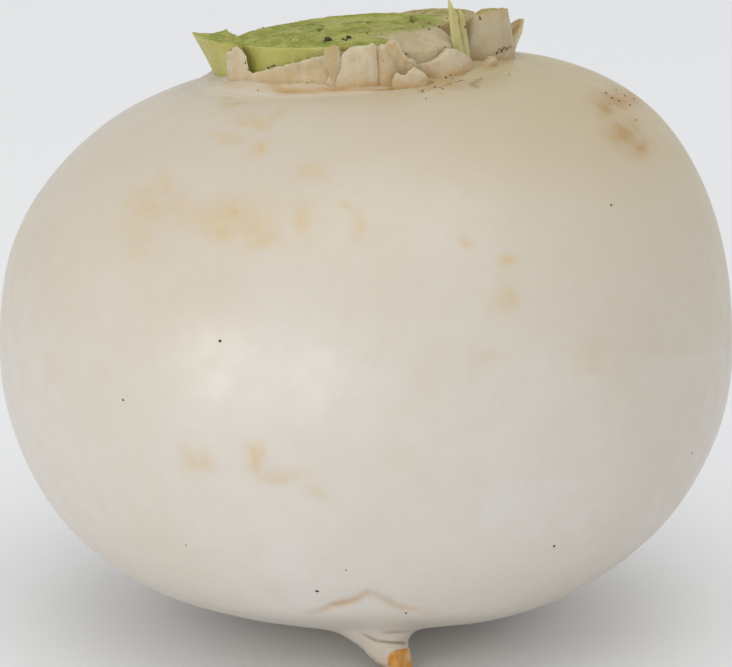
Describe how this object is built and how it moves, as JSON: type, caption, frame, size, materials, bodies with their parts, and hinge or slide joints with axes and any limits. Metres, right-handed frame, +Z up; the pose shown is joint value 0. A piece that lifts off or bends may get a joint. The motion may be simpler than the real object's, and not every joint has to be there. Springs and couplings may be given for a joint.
{
  "type": "turnip",
  "caption": "White globe turnip with its leaves cut off short above the crown and its tap root cut to a stub.",
  "frame": {"origin": "on the surface it stands on, under the middle of its box", "axes": "+Z up, +X to the right and -Y to the front, where the picture looks from; the turnip's own axis leans 13 degrees back from +Z"},
  "size_m": [0.1, 0.098, 0.0887],
  "materials": {
    "root_skin": "smooth waxy cream-white skin with yellow-tan blotches, brown at the cut end of the tap root",
    "cream_scale": "dull cream, torn and slightly translucent leaf base",
    "green_stalk": "moist yellow-green cut stalk with fine fibres",
    "pale_stalk": "pale tan to grey-green stalk, dull",
    "young_leaf": "pale yellow-green, slightly glossy"
  },
  "bodies": {
    "root": {"root": "root_skin", "scale_curled": "cream_scale", "scale_left": "cream_scale", "scale_white": "cream_scale", "scale_long": "cream_scale", "scale_tan": "cream_scale", "scale_peach": "cream_scale", "scale_domed": "cream_scale", "scale_small": "cream_scale", "scale_back_right": "cream_scale", "scale_back": "cream_scale", "scale_back_left": "cream_scale", "scale_far_left": "cream_scale", "stalk_right": "pale_stalk", "stalk_far_right": "pale_stalk", "stalk_round": "pale_stalk", "stalk_back_right": "pale_stalk", "stalk_inner_right": "pale_stalk", "stalk_inner_front": "pale_stalk", "stalk_left": "green_stalk", "stalk_front": "green_stalk", "stalk_back_left": "green_stalk", "stalk_back": "green_stalk", "stalk_inner_left": "green_stalk", "stalk_inner_back": "green_stalk", "stem_top": "green_stalk", "young_leaf_long": "young_leaf", "young_leaf_short": "young_leaf"}
  },
  "joints": []
}
